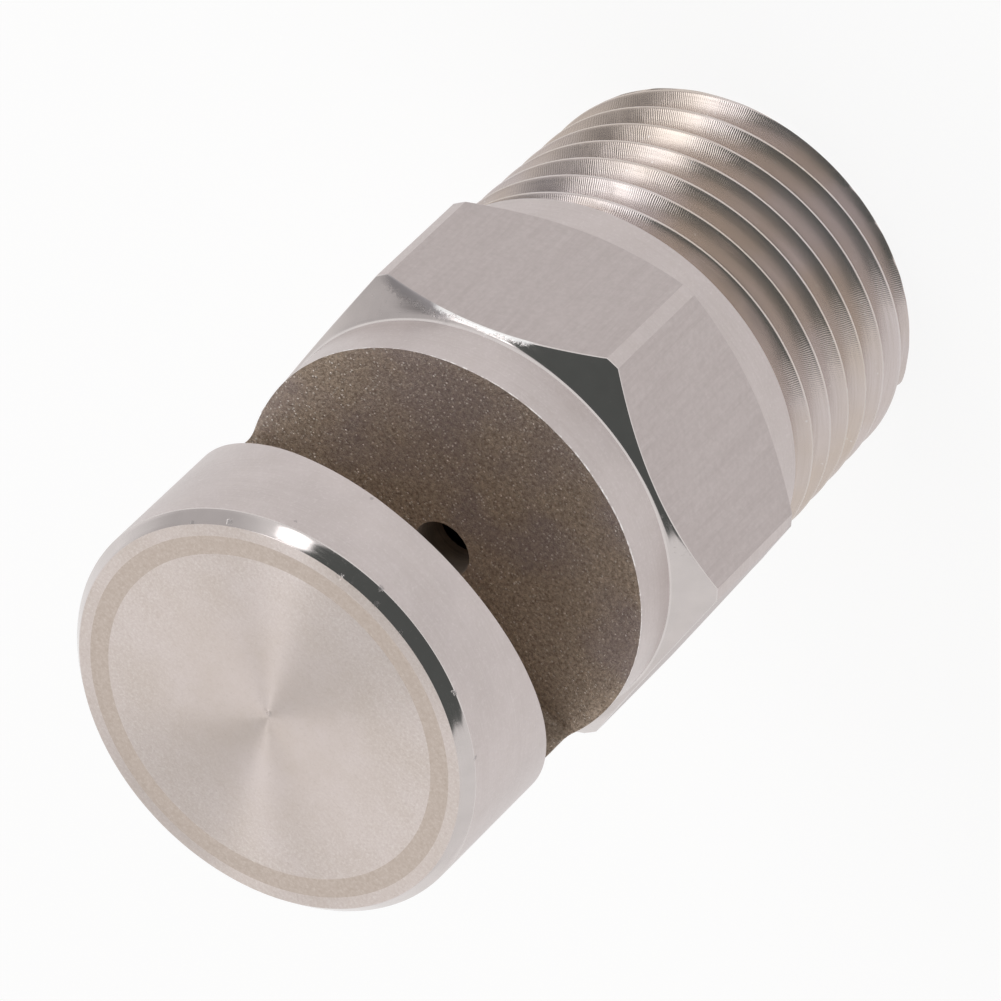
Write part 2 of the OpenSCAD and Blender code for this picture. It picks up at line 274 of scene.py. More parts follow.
def turned_steel():
    """Satin lathe finish on the collar, the web and the cap's side."""
    mat = Material("steel_turned")
    radius, angle, z = mat.polar()
    blot = mat.noise(scale=0.28, rough=0.55).rise(start=0.35, end=0.68)
    stain = mat.noise(scale=0.9, detail=4, rough=0.6).rise(start=0.35, end=0.7)
    lay = mat.noise(mat.join(angle * 0.9, z * 9.0), detail=4, rough=0.7)
    grain = mat.noise(scale=9.0, detail=2, rough=0.6)
    scratch = mat.noise(mat.join(angle * 22.0, z * 0.9, radius * 2.0),
                        detail=5, rough=0.85, warp=0.6).rise(start=0.66, end=0.76)
    bright = mat.noise(scale=6.0, rough=0.8).rise(start=0.52, end=0.70)
    # torn burr where the collar meets the notch; its glints are painted in as near-white specks
    burr_glint = abs(z - 26.45).fade(start=0.02, end=0.11)
    burr_glint = burr_glint * mat.noise(scale=2.6, detail=4, rough=0.75).rise(start=0.46, end=0.58)
    burr_glint = burr_glint * mat.split()[1].fade(start=2.9, end=3.2)
    dent = dent_mask(mat)

    color = mat.mix(blot, base=(0.585, 0.520, 0.507), over=(0.530, 0.470, 0.458))
    color = mat.tint(color, stain, amount=0.35, over=(0.500, 0.440, 0.415))
    streak = lay.rise(start=0.35, end=0.75)
    color = mat.tint(color, streak, amount=0.30, over=(0.68, 0.62, 0.61))
    color = mat.tint(color, scratch, amount=0.45, over=(0.40, 0.37, 0.38))
    color = mat.tint(color, bright, amount=0.30, over=(0.74, 0.68, 0.67))
    # painted highlight: the burr's specks mixed to near-white, standing in for the lamp's
    # reflection
    color = mat.mix(burr_glint, color, over=(0.98, 0.95, 0.94))
    # painted shade: the dents darkened
    color = mat.tint(color, dent, amount=0.6, over=(0.30, 0.28, 0.28))
    height = lay * 0.6 + grain * 0.5 + (burr_glint * 1.5 - dent * 6.0)
    return mat.finish(color, rough=grain.spread(low=0.30, high=0.40), brushed=0.6, turn=0.25,
                      normal=mat.bump(height, depth=0.006, strength=0.6))


def chamfer_steel():
    """Bright chamfers with little grain, torn along the hexagon's edge at one corner; one torn
    strip is a painted highlight.
    """
    mat = Material("steel_chamfer")
    radius, angle, z = mat.polar()
    lay = mat.noise(mat.join(angle * 1.2, (z - radius) * 8.0), detail=4, rough=0.7)
    pits = mat.noise(scale=3.0, detail=4, rough=0.7).rise(start=0.60, end=0.78)
    blot = mat.noise(scale=0.8).spread()
    ragged = mat.noise(scale=2.6, detail=5, rough=0.8)
    # distance in from the flat that faces -60 degrees, made uneven
    x, y, _ = mat.split()
    inset = FLAT_R - (x * 0.5 - y * math.sqrt(0.75))
    low = z.fade(start=24.0, end=24.3)
    inset = inset + (ragged - 0.5) * 0.9
    degrees = angle * (180.0 / math.pi)

    def torn(centre, half, depth):
        """Strip centred on an angle; half width in degrees and depth in mm, each (full, none)."""
        along = abs(degrees - centre).fade(start=half[0], end=half[1])
        return along * inset.fade(start=depth[0], end=depth[1]) * low

    grey = torn(centre=-40.0, half=(7.0, 11.0), depth=(0.22, 0.50))
    # the torn strip at -59 degrees is partly real damage, partly a painted highlight
    white = torn(centre=-59.0, half=(12.0, 15.0), depth=(0.04, 0.16))
    dent = dent_mask(mat)

    color = mat.mix(blot, base=(0.660, 0.610, 0.595), over=(0.615, 0.570, 0.555))
    color = mat.tint(color, grey, amount=0.75, over=(0.24, 0.225, 0.235))
    # painted highlight: the torn strip at -59 degrees turned near-white
    color = mat.tint(color, white, amount=0.85, over=(0.97, 0.96, 0.95))
    # painted shade: the dents darkened
    color = mat.tint(color, dent, amount=0.6, over=(0.34, 0.32, 0.32))
    rough = lay.spread(low=0.09, high=0.15) + pits * 0.22
    rough = rough + grey.larger(white.larger(dent)) * 0.25
    height = lay * 0.5 + pits * 1.3
    height = height + (grey.larger(white) * ragged * 5.0 - dent * 8.0)
    return mat.finish(color, rough, brushed=0.35, turn=0.25,
                      normal=mat.bump(height, depth=0.004, strength=0.4))


def flat_steel():
    """Drawn hexagon flats: fine straight grain along the axis."""
    mat = Material("steel_flat")
    x, y, z = mat.split()

    def drawn(across, along, **settings):
        return mat.noise(mat.join(x * across, y * across, z * along), **settings)

    fine = drawn(across=21.0, along=0.55, detail=4, rough=0.7)
    wide = drawn(across=3.2, along=0.22, rough=0.6).rise(start=0.36, end=0.66)
    mottle = mat.noise(scale=3.4, detail=4, rough=0.7).rise(start=0.36, end=0.66)
    scratch = drawn(across=9.0, along=0.9, detail=5, rough=0.8, warp=0.2)
    scratch = scratch.rise(start=0.67, end=0.74)

    color = mat.mix(wide, base=(0.512, 0.452, 0.442), over=(0.466, 0.408, 0.398))
    streak = fine.rise(start=0.35, end=0.65)
    color = mat.tint(color, streak, amount=0.5, over=(0.585, 0.53, 0.52))
    color = mat.tint(color, mottle, amount=0.38, over=(0.40, 0.352, 0.338))
    color = mat.tint(color, scratch, amount=0.4, over=(0.31, 0.275, 0.262))
    height = fine + mottle * 0.6 - scratch * 0.4
    return mat.finish(color, rough=fine.spread(low=0.40, high=0.50), brushed=0.5,
                      normal=mat.bump(height, depth=0.007, strength=0.6))


def thread_steel():
    """Single-point cut thread: smooth flanks with chatter across them, a tan cast, painted shade
    in the roots.
    """
    mat = Material("steel_thread")
    radius, angle, z = mat.polar()
    # height above the helix, so that marks follow the thread
    height_on_helix = z - angle * (1.0 / (2 * math.pi)) * LEAD
    sway = mat.noise(scale=0.9, detail=2) * 14.0
    wave = mat.math("SINE", angle * 610.0 + sway)
    strong = mat.noise(scale=0.22, detail=2).rise(start=0.42, end=0.6)
    chatter = wave * strong.blend(zero=0.25, one=0.80)
    blot = mat.noise(scale=0.16, detail=2).rise(start=0.38, end=0.62)
    fine = mat.noise(mat.join(angle * 2.0, height_on_helix * 10.0, radius * 10.0),
                     detail=4, rough=0.7)
    spots = mat.voronoi(scale=1.3).fade(start=0.05, end=0.10)
    # painted shade: darker towards the thread roots
    root_shade = radius.fade(start=9.35, end=9.95)

    color = mat.mix(blot, base=(0.665, 0.602, 0.592), over=(0.625, 0.545, 0.488))
    streak = fine.rise(start=0.35, end=0.7)
    color = mat.tint(color, streak, amount=0.25, over=(0.47, 0.41, 0.37))
    color = mat.tint(color, root_shade, amount=0.35, over=(0.50, 0.425, 0.40))
    color = mat.tint(color, spots, amount=0.5, over=(0.75, 0.72, 0.70))
    return mat.finish(color, rough=fine.spread(low=0.20, high=0.27), metal=0.92,
                      brushed=0.8, turn=0.25,
                      normal=mat.bump(chatter * 0.5 + fine * 0.5, depth=0.0065, strength=0.55))


def faced_steel():
    """Faced centre disc of the cap: concentric lay with a fine blasted grain."""
    mat = Material("steel_faced")
    radius, angle, _ = mat.polar()
    ring = mat.noise(mat.join(angle * 0.5, radius * 9.0), detail=4, rough=0.75)
    grain = mat.noise(scale=8.0, rough=0.7)
    speck = mat.noise(scale=3.6, rough=0.8)
    dust = mat.noise(scale=6.5, rough=0.85)
    blot = mat.noise(scale=0.33, detail=4, rough=0.6).rise(start=0.36, end=0.66)
    outer = radius.rise(start=3.0, end=8.0)
    # crater-topped nub, and the scuffs round it
    away = mat.distance(mat.mm, (NUB_X, NUB_Y, DISC_Z))
    nub = (away.fade(start=0.09, end=0.27, smooth=True) * 9.0
           - away.fade(start=0.0, end=0.10, smooth=True) * 9.0)
    scuff = away.fade(start=0.2, end=1.3)
    scuff = scuff * mat.noise(scale=2.4, detail=4, rough=0.8).rise(start=0.55, end=0.68)

    color = mat.mix(blot, base=(0.715, 0.650, 0.630), over=(0.665, 0.598, 0.562))
    light_speck = speck.rise(start=0.5, end=0.72) * outer
    color = mat.tint(color, light_speck, amount=0.45, over=(0.74, 0.70, 0.67))
    dark_speck = speck.rise(start=0.45, end=0.25)
    color = mat.tint(color, dark_speck, amount=0.22, over=(0.47, 0.42, 0.37))
    light_dust = dust.rise(start=0.50, end=0.68)
    color = mat.tint(color, light_dust, amount=outer.blend(zero=0.10, one=0.55),
                     over=(0.86, 0.82, 0.80))
    dark_dust = dust.rise(start=0.46, end=0.32)
    color = mat.tint(color, dark_dust, amount=outer.blend(zero=0.12, one=0.30),
                     over=(0.50, 0.45, 0.42))
    color = mat.tint(color, scuff, amount=0.35, over=(0.42, 0.37, 0.35))
    height = (ring * outer.blend(zero=0.6, one=0.35)
              + (grain + dust + speck) * outer.blend(zero=0.15, one=0.7))
    height = height + nub - dent_mask(mat) * 6.0
    return mat.finish(color, rough=grain.spread(low=0.33, high=0.38), brushed=0.93, turn=0.25,
                      normal=mat.bump(height, depth=0.006, strength=0.6))


def band_steel():
    """Recessed band round the disc: a second facing cut, slightly darker and beige."""
    mat = Material("steel_band")
    radius, angle, z = mat.polar()
    ring = mat.noise(mat.join(angle * 0.8, radius * 12.0, z * 12.0), detail=4, rough=0.7)
    speck = mat.noise(scale=4.0, rough=0.7)
    dust = mat.noise(scale=6.5, rough=0.85).rise(start=0.50, end=0.68)
    color = mat.mix(speck.rise(start=0.35, end=0.7),
                    base=(0.525, 0.455, 0.405), over=(0.600, 0.530, 0.485))
    color = mat.tint(color, dust, amount=0.35, over=(0.78, 0.73, 0.69))
    return mat.finish(color, rough=ring.spread(low=0.28, high=0.38), brushed=0.6, turn=0.25,
                      normal=mat.bump(ring + speck * 0.5, depth=0.006, strength=0.6))


def cast_steel():
    """As-cast, oxidised surface inside the notch: brown, grainy, with bright grains whose glints
    are painted in near-white.
    """
    mat = Material("steel_as_cast")
    x, y, _ = mat.split()
    grain = mat.noise(scale=5.5, detail=4, rough=0.75)
    fine = mat.noise(scale=13.0, rough=0.7)
    # round dots in the few cells whose random colour has much red
    red = mat.value("ShaderNodeSeparateColor", {0: mat.voronoi(scale=7.5, output="Color")})
    bright = red.rise(start=0.72, end=0.98) * mat.voronoi(scale=7.5).fade(start=0.25, end=0.48)
    crumb = mat.noise(scale=7.0, rough=0.8).rise(start=0.54, end=0.66)
    # brighter towards +x, more purple towards -y
    zone = (mat.noise(scale=0.15, detail=2) + x * 0.024).rise(start=0.35, end=0.72)
    purple = (mat.noise(scale=0.20, detail=2) - y * 0.012).rise(start=0.52, end=0.68)

    color = mat.mix(grain.spread(), base=(0.25, 0.194, 0.150), over=(0.70, 0.575, 0.470))
    color = mat.tint(color, purple, amount=0.45, over=(0.36, 0.30, 0.325))
    color = mat.tint(color, crumb * zone.blend(zero=0.4, one=1.0), amount=0.5,
                     over=(0.86, 0.76, 0.66))
    # painted glints: the few bright grains pushed to near-white, stronger towards +x
    color = mat.tint(color, bright * zone.blend(zero=0.45, one=1.0), amount=0.95,
                     over=(1.0, 0.95, 0.90))
    height = grain * 1.0 + (fine * 0.9 + bright * 0.5)
    return mat.finish(color, metal=0.9,
                      rough=bright.blend(zero=fine.spread(low=0.42, high=0.62), one=0.25),
                      normal=mat.bump(height, depth=0.06, strength=0.9))


def bored_steel():
    """Bored and drilled inside surfaces, darker and duller in the narrow hole."""
    mat = Material("steel_bored")
    radius, angle, z = mat.polar()
    lay = mat.noise(mat.join(angle * 0.7, z * 8.0, radius * 8.0), detail=4, rough=0.7)
    speck = mat.noise(scale=2.5, rough=0.6)
    narrow = radius.fade(start=1.2, end=2.2)
    color = mat.mix(speck.rise(start=0.35, end=0.7),
                    base=(0.50, 0.455, 0.43), over=(0.58, 0.53, 0.51))
    color = mat.tint(color, narrow, amount=0.6, over=(0.46, 0.37, 0.30))
    drilled = mat.mix(lay.rise(start=0.35, end=0.7),
                      base=(0.34, 0.275, 0.225), over=(0.52, 0.43, 0.35))
    color = mat.mix(narrow, color, over=drilled)
    return mat.finish(color, rough=lay.spread(low=0.28, high=0.42),
                      metal=narrow.blend(zero=1.0, one=0.2), brushed=0.4, turn=0.25,
                      normal=mat.bump(lay, depth=0.01, strength=0.7))


BODY_MATERIALS = [turned_steel(), chamfer_steel(), flat_steel(), thread_steel(),
                  faced_steel(), band_steel(), cast_steel(), bored_steel()]
TURNED, POLISHED, FLAT, THREAD, FACE, BAND, CAST, BORE = range(8)


# ------------------------------------------------------------ mesh helpers
def make_object(name, verts, faces, face_slots=None, materials=BODY_MATERIALS):
    mesh = bpy.data.meshes.new(name)
    mesh.from_pydata([tuple(v) for v in verts], [], [tuple(f) for f in faces])
    for material in materials:
        mesh.materials.append(material)
    if face_slots is not None:
        mesh.polygons.foreach_set("material_index", np.asarray(face_slots, np.int32))
    shade_smooth(mesh)
    mesh.validate()
    mesh.update()
    made = bpy.data.objects.new(name, mesh)
    scene.collection.objects.link(made)
    return made


def shade_smooth(mesh):
    mesh.polygons.foreach_set("use_smooth", np.full(len(mesh.polygons), True))


def face_outwards(part):
    bm = bmesh.new()
    bm.from_mesh(part.data)
    if bm.calc_volume(signed=True) < 0:
        bmesh.ops.reverse_faces(bm, faces=bm.faces)
        bm.to_mesh(part.data)
    bm.free()


def revolve(stations, theta):
    """A skin round the z axis, in metres: verts, faces and each face's material slot.
    stations: (radius, z, slot of the surface that leads here from the station before).
    A radius or z is one number or one per column; a radius of 0 is a pole."""
    n = len(theta)
    cos, sin = np.cos(theta), np.sin(theta)
    verts, rings = [], []
    for radius, z, _ in stations:
        if np.isscalar(radius) and radius == 0:
            rings.append(np.full(n, len(verts)))
            verts.append((0.0, 0.0, float(z) * MM))
        else:
            radius, z = np.broadcast_to(radius, n), np.broadcast_to(z, n)
            rings.append(np.arange(len(verts), len(verts) + n))
            verts += list(zip(radius * cos * MM, radius * sin * MM, z * MM))
    faces, face_slots = [], []
    for low, high, (_, _, slot) in zip(rings, rings[1:], stations[1:]):
        for j in range(n):
            k = (j + 1) % n
            if low[0] == low[-1]:
                faces.append((low[j], high[k], high[j]))
            elif high[0] == high[-1]:
                faces.append((low[j], low[k], high[j]))
            else:
                faces.append((low[j], low[k], high[k], high[j]))
            face_slots.append(slot)
    return verts, faces, face_slots


def boolean(part, cutter, operation):
    """Applies the cutter to the part and removes the cutter."""
    modifier = part.modifiers.new("b", "BOOLEAN")
    modifier.operation = operation
    modifier.object = cutter
    modifier.solver = "MANIFOLD"
    depsgraph = bpy.context.evaluated_depsgraph_get()
    mesh = bpy.data.meshes.new_from_object(part.evaluated_get(depsgraph), depsgraph=depsgraph)
    part.modifiers.clear()
    old = part.data
    part.data = mesh
    bpy.data.meshes.remove(old)
    bpy.data.objects.remove(cutter)


def between(first, last, t):
    return first + (last - first) * t


def bezier(p0, p1, p2, ts):
    """Points of a quadratic curve."""
    return [((1 - t) ** 2 * p0[0] + 2 * t * (1 - t) * p1[0] + t * t * p2[0],
             (1 - t) ** 2 * p0[1] + 2 * t * (1 - t) * p1[1] + t * t * p2[1]) for t in ts]


def smoothstep(t):
    t = np.clip(t, 0, 1)
    return t * t * (3 - 2 * t)


# ------------------------------------------------------------ body: hexagon and cap
def hex_columns():
    """Angles of the columns, close together at the edges of each flat."""
    one_side = [-30.0, -29.2, -CORNER] + list(np.linspace(-27.9, 27.9, 41)) + [CORNER, 29.2]
    return np.radians(np.array([60.0 * side + d for side in range(6) for d in one_side]))


def build_upper():
    theta = hex_columns()
    # degrees from the middle of the nearest flat
    degrees = (np.degrees(theta) + 30.0) % 60.0 - 30.0
    hexagon = np.minimum(FLAT_R / np.cos(np.radians(degrees)), CORNER_R)
    run = 1.57 / 1.14  # of the cone above the hexagon: radius lost for each mm of height
    shoulder = 14.2
    z_low = 14.23 + 0.70 * (hexagon - NECK_R)
    z_high = 22.4 + (CORNER_R - hexagon) / run
    z_flat = z_low + 0.03
    rounding = 0.06
    cone_step = rounding / math.hypot(run, 1.0)
    cone_r, cone_z = hexagon - run * cone_step, z_high + cone_step

    stations = [
        (0, 12.26, BORE), (4.0, 12.26, BORE), (9.0, 12.26, BORE),
        (10.2, 12.28, THREAD), (10.6, 12.28, THREAD), (10.91, 12.28, THREAD),
        (10.955, 12.295, TURNED),
    ]
    stations += [(NECK_R, z, TURNED) for z in (12.33, 12.38, 12.9, 13.5, 14.17)]
    # underside of the hexagon
    stations.append((between(NECK_R, hexagon, 0.01), shoulder, TURNED))
    stations += [(between(NECK_R, hexagon, t), between(shoulder, z_low, t), TURNED)
                 for t in (0.33, 0.67, 0.99)]
    # flats
    stations.append((hexagon, z_flat, TURNED))
    stations += [(hexagon, between(z_flat, z_high - rounding, t), FLAT)
                 for t in np.linspace(0.0, 1.0, 9)[1:]]
    # rounded edge, cone and fillet up to the cap
    stations += [(r, z, POLISHED) for r, z in bezier(
        (hexagon, z_high - rounding), (hexagon, z_high), (cone_r, cone_z), (0.33, 0.67))]
    stations += [(between(cone_r, 10.93, t), between(cone_z, 23.54, t), POLISHED)
                 for t in (0.0, 0.25, 0.5, 0.75, 1.0)]
    stations += [(r, z, POLISHED) for r, z in bezier(
        (10.93, 23.54), (CAP_R, 23.67), (CAP_R, 23.84), (0.2, 0.4, 0.6, 0.8, 1.0))]
    # side of the cap
    stations += [(CAP_R, z, TURNED) for z in [*np.arange(24.3, 41.2, 0.62), 41.2, 41.36]]
    # chamfer round the top
    stations += [(r, z, POLISHED) for r, z in bezier(
        (CAP_R, 41.36), (CAP_R, 41.40), (10.725, 41.43), (0.5, 1.0))]
    stations += [(between(10.725, 10.275, t), between(41.43, 41.97, t), POLISHED)
                 for t in (0.25, 0.5, 0.75)]
    # rim, recessed band and centre disc
    stations += [
        (10.275, 41.97, POLISHED), (10.25, 41.993, POLISHED),
        (10.20, CAP_TOP, FACE), (9.95, CAP_TOP, FACE), (9.72, CAP_TOP, FACE),
        (9.64, 41.996, FACE), (9.58, 41.987, BAND), (9.52, 41.978, BAND), (9.44, 41.974, BAND),
        (9.2, BAND_Z, BAND), (8.9, BAND_Z, BAND), (8.74, BAND_Z, BAND),
        (8.67, 41.974, BAND), (8.62, 41.978, FACE), (8.55, DISC_Z, FACE),
    ]
    stations += [(r, DISC_Z, FACE) for r in (
        8.45, 8.2, 7.6, 6.8, 6.0, 5.0, 4.0, 3.0, 2.2, 1.6, 1.15, 0.85, 0.65, 0.5, 0.38, 0.28,
        0.2, 0.13, 0.07, 0)]
    verts, faces, face_slots = revolve(stations, theta)

    # the hexagon's corners are turned; 0.01 degree leads from a column into its face
    for i, slot in enumerate(face_slots):
        if slot == FLAT and abs(degrees[i % len(theta)] + 0.01) > CORNER:
            face_slots[i] = TURNED

    # nub with a crater, and a shallow dip at the middle of the disc
    verts = np.array(verts) / MM
    radius = np.hypot(verts[:, 0], verts[:, 1])
    disc = (verts[:, 2] > 41.97) & (radius < 8.5)
    away = np.hypot(verts[disc, 0] - NUB_X, verts[disc, 1] - NUB_Y)
    verts[disc, 2] += (0.018 * np.exp(-(away / 0.20) ** 2) - 0.020 * np.exp(-(away / 0.09) ** 2)
                       - 0.004 * np.exp(-(radius[disc] / 0.9) ** 2))
    return make_object("upper", verts * MM, faces, face_slots)


# ------------------------------------------------------------ body: threaded shank
def thread_height(x):
    """Sixty degree form with rounded crest and root: height, 0 or less, relative to the
    crest at distance x from it, in mm."""
    half, crest_r, root_r = PITCH / 2, 0.13, 0.28
    x = np.abs(x)
    sin, cos, tan = 0.5, math.cos(math.radians(30)), math.tan(math.radians(30))
    flank_start, flank_end = crest_r * cos, half - root_r * cos
    crest = -crest_r + np.sqrt(np.maximum(crest_r ** 2 - np.minimum(x, flank_start) ** 2, 0))
    y_start = -crest_r * (1 - sin)
    flank = y_start - (np.clip(x, flank_start, flank_end) - flank_start) / tan
    y_end = y_start - (flank_end - flank_start) / tan
    from_root = half - np.maximum(x, flank_end)
    root = y_end - root_r * (1 - sin) + (
        root_r - np.sqrt(np.maximum(root_r ** 2 - from_root ** 2, 0)))
    return np.where(x <= flank_start, crest, np.where(x <= flank_end, flank, root))


def build_shank():
    """Rows follow the helix, so the end of a row meets the start of the row a lead above."""
    columns = 216
    turns = 11
    z_first = 1.79 - 4 * PITCH  # height of a crest at the -y side, where the rows start
    # steps from one crest to the next, alike on both flanks
    steps = np.array([0.0, 0.04, 0.08, 0.1126, 0.17, 0.28, 0.40, 0.52, 0.60, 0.6645, 0.75, 0.83])
    steps = np.concatenate([steps, [PITCH / 2], PITCH - steps[::-1][:-1]])
    per_pitch = len(steps)
    rows = turns * per_pitch

    angle = -math.pi / 2 + 2 * math.pi * np.arange(columns) / columns
    # the blank's rim stands full behind the first groove, until the groove breaks out of the end
    degrees = np.degrees(angle) % 360.0
    blank = 10.36 - (0.45 * smoothstep((199.0 - degrees) / 7.0)
                     * smoothstep((degrees - 100.0) / 40.0))
    verts = []
    for i in range(rows):
        step = steps[i % per_pitch]
        z = z_first + PITCH * (i // per_pitch) + step + LEAD * np.arange(columns) / columns
        form = thread_height(step if step <= PITCH / 2 else step - PITCH)
        crest = 10.45 + z / 32
        # slight waviness, strongest on the crests
        wave = 0.006 * np.sin(3 * angle + 0.7 * i / per_pitch) + 0.004 * np.sin(7 * angle + 1.3)
        radius = crest + form + wave * (1 + form)
        slope = np.maximum(z - 0.13, 0.0) / math.tan(math.radians(32))
        radius = np.maximum(radius, blank - slope)
        # the thread fades into a shallow turned groove
        out = smoothstep((z - 11.5) / 0.6)
        radius = (1 - out) * radius + out * (10.46 + 0.24 * (z - 11.2))
        verts += list(zip(radius * np.cos(angle) * MM, radius * np.sin(angle) * MM, z * MM))

    faces = []
    for i in range(rows - 1):
        for j in range(columns - 1):
            a = i * columns + j
            faces.append((a, a + 1, a + columns + 1, a + columns))
    rise = STARTS * per_pitch  # rows in one lead
    for i in range(rows - rise - 1):
        a, b = i * columns + columns - 1, (i + rise) * columns
        faces.append((a, b, b + columns, a + columns))

    # end caps, as fans round a point on the axis
    last = rows - 1
    bottom = list(range(columns)) + [q * columns for q in range(rise, 0, -1)]
    top = [last * columns + j for j in range(columns)]
    top += [(last - q) * columns + columns - 1 for q in range(1, rise + 1)]
    z_last = z_first + PITCH * (last // per_pitch) + steps[last % per_pitch]
    for loop, z in ((bottom, verts[0][2]), (top[::-1], (z_last + LEAD) * MM)):
        centre = len(verts)
        verts.append((0, 0, z))
        faces += [(centre, q, p) for p, q in zip(loop, loop[1:] + loop[:1])]
    return make_object("shank", verts, faces, [THREAD] * len(faces))


def build_envelope():
    """What the shank is trimmed to: a flat end at z 0 with a chamfer."""
    theta = np.linspace(0, 2 * math.pi, 216, endpoint=False)
    stations = [
        (0, 0.0, TURNED), (5.0, 0.0, TURNED), (9.0, 0.0, TURNED), (10.20, 0.0, TURNED),
        (10.245, 0.012, THREAD), (10.28, 0.045, THREAD), (10.36, 0.12, THREAD),
        (12.0, 1.68, THREAD), (12.0, 13.2, THREAD), (5.0, 13.2, THREAD), (0, 13.2, THREAD),
    ]
    return make_object("envelope", *revolve(stations, theta))


def build_cavity():
    """Cutter for the stepped bore, with its cone and the narrow hole above."""
    theta = np.linspace(0, 2 * math.pi, 168, endpoint=False)
    # radius, z
    profile = [
        (0, -1.0), (8.6, -1.0), (8.03, -0.03), (7.97, 0.04), (7.52, 0.47), (7.5, 0.52),
        (7.5, 0.6), (7.9, 0.6), (7.9, 1.55), (7.5, 1.55), (7.5, 2.1), (7.0, 2.1),
        (7.0, 4.0), (7.0, 6.0), (7.0, 8.0), (7.0, 9.5), (6.3, 10.2), (6.3, 11.5), (6.3, 13.3),
        (6.0, 13.3), (6.0, 15.5), (6.0, 18.0), (6.0, 20.5), (6.0, 22.7), (5.1, 22.7),
        (3.9, 23.185), (2.7, 23.67), (1.48, 24.163), (1.45, 24.2),
    ]
    # fine ridges in the narrow hole
    profile += [(1.45 + 0.03 * (k % 2), 24.25 + 0.13 * k) for k in range(17)]
    profile += [(1.45, 26.40), (1.50, 26.52), (1.54, 26.8), (1.54, 28.6), (0, 28.6)]
    return make_object("cavity", *revolve([(r, z, BORE) for r, z in profile], theta))


def build_notch():
    """Cutter, open towards -y: collar face below, back wall and tilted face above, as-cast."""
    fillet = 0.35
    y_open, y_wall = -11.6, 3.3
    z_floor = 26.5
    tilt = math.radians(20)
    slope = math.tan(tilt)
    z_axis = 33.3  # height of the tilted face at y 0
    z_wall = z_axis - y_wall * slope
    spacing = 0.215
    profile = []  # y, z

    def line(start, end, last=False):
        count = max(1, int(round(math.hypot(end[0] - start[0], end[1] - start[1]) / spacing)))
        for i in range(count + (1 if last else 0)):
            t = i / count
            profile.append((between(start[0], end[0], t), between(start[1], end[1], t)))

    line((y_open, z_floor), (y_wall - fillet, z_floor))
    for k in range(4):
        turn = math.radians(90 * k / 4)
        profile.append((y_wall - fillet + fillet * math.sin(turn),
                        z_floor + fillet - fillet * math.cos(turn)))
    reach = fillet * 0.9
    wall_end = (y_wall, z_wall - reach)
    tilt_start = (y_wall - reach * math.cos(tilt), z_wall + reach * math.sin(tilt))
    line((y_wall, z_floor + fillet), wall_end)
    profile += bezier(wall_end, (y_wall, z_wall), tilt_start, (0, 0.25, 0.5, 0.75))
    line(tilt_start, (y_open, z_axis - y_open * slope), last=True)
    face_count = len(profile)
    profile += [(-14.0, z_axis + 13.9 * slope), (-14.0, z_floor)]
    sections = np.arange(-11.9, 11.91, 0.2125)
    points = np.array([(x, y, z) for x in sections for y, z in profile])
    n = len(profile)

    def rough(x, y, z, scale, shift=(0, 0)):
        return noise.noise(Vector((x * scale + shift[0], y * scale + shift[1], z * scale)))

    # unevenness of the casting, and edges that roll over towards the turned rim
    for i, (x, y, z) in enumerate(points.copy()):
        if i % n >= face_count or abs(x) > 11.8:
            continue
        mid = rough(x, y, z, scale=1.3, shift=(9, 0))
        amount = (0.045 * rough(x, y, z, scale=0.35) + 0.022 * mid
                  + 0.012 * rough(x, y, z, scale=4.2, shift=(0, 5)))
        rim = float(smoothstep((math.hypot(x, y) - 10.35) / 0.4))
        roll = 0.05 * rim * (1.0 + 0.6 * mid)
        if y < y_wall - 0.05 and z < z_floor + 0.25:  # collar face
            points[i, 2] += amount - roll
        elif y > y_wall - 0.6 and z < z_wall - 0.2:  # back wall
            points[i, 1] += amount + roll * 0.6
        else:  # tilted face
            amount *= 1 - 0.8 * rim
            points[i, 2] += amount
            points[i, 1] += amount * slope

    faces = []
    for i in range(len(sections) - 1):
        for k in range(n):
            a, b = i * n + k, i * n + (k + 1) % n
            faces.append((a, b, b + n, a + n))
    faces.append(tuple(range(n - 1, -1, -1)))
    faces.append(tuple((len(sections) - 1) * n + k for k in range(n)))
    return make_object("notch", points * MM, faces, [CAST] * len(faces))


def build_body():
    parts = []
    for build in (build_upper, build_shank, build_envelope, build_cavity, build_notch):
        part = build()
        face_outwards(part)
        parts.append(part)
    upper, body, envelope, cavity, notch = parts
    boolean(body, envelope, "INTERSECT")
    boolean(body, upper, "UNION")
    boolean(body, cavity, "DIFFERENCE")
    boolean(body, notch, "DIFFERENCE")
    body.name = "valve_body_finished"
    body.data.name = body.name
    # real creases, and big faces setting the normals next to small ones
    shade_smooth(body.data)
    body.data.set_sharp_from_angle(angle=math.radians(27))
    normals = body.modifiers.new("normals", "WEIGHTED_NORMAL")
    normals.mode = "FACE_AREA"
    normals.weight = 60
    normals.keep_sharp = True
    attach(body, "housing")
    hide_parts("valve_body")


build_body()


# ------------------------------------------------------------ inner parts: materials
def lathe_metal(name, base, over, rough=(0.26, 0.38), brushed=0.4, stain=0.3,
                stain_color=(0.42, 0.37, 0.33)):
    """Small turned metal parts: fine lay round the axis, handling marks and a light stain."""
    mat = Material(name)
    radius, angle, z = mat.polar()
    lay = mat.noise(mat.join(angle * 0.8, z * 11.0, radius * 11.0), detail=4, rough=0.7)
    blot = mat.noise(scale=0.7, detail=4, rough=0.6).rise(start=0.35, end=0.68)
    scratch = mat.noise(mat.stretch((2.0, 9.0, 2.0)), detail=4, rough=0.8, warp=0.4)
    scratch = scratch.rise(start=0.62, end=0.72)
    color = mat.tint(mat.mix(blot, base, over), scratch, amount=stain, over=stain_color)
    return mat.finish(color, rough=lay.spread(*rough) + scratch * 0.1, brushed=brushed,
                      normal=mat.bump(lay - scratch * 0.5, depth=0.008, strength=0.6))


